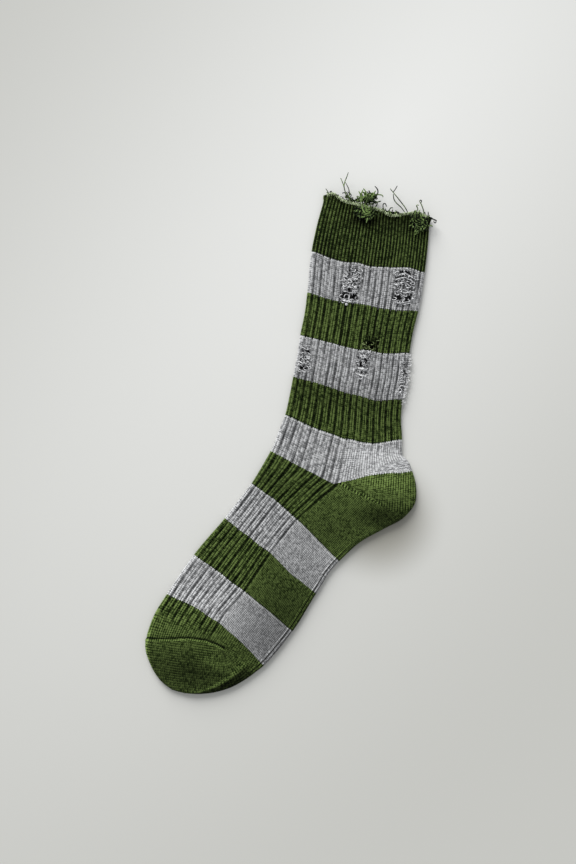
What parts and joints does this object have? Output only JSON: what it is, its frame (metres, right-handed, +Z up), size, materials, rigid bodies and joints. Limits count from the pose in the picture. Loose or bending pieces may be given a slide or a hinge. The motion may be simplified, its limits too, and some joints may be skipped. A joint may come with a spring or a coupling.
{
  "type": "holey sock",
  "caption": "Ribbed, striped crew sock laid flat on its side, with a raw frayed rim and worn ladders with holes in its leg.",
  "frame": {"origin": "middle of the box that the sock covers, on the surface it lies on", "axes": "+Y up the leg to the raw rim, the foot points to -X and -Y, +Z up from the surface"},
  "size_m": [0.178, 0.387, 0.0088],
  "materials": {
    "sock_knit": "soft ribbed cotton knit, moss green with heather grey bands",
    "fray_yarn": "loose moss green cotton yarn, curled",
    "worn_yarn": "loose heather grey cotton yarn"
  },
  "bodies": {
    "root": {"upper_side": "sock_knit", "lower_side": "sock_knit", "fray_left": "fray_yarn", "fray_centre": "fray_yarn", "fray_right": "fray_yarn", "fray_calf": "worn_yarn"}
  },
  "joints": []
}
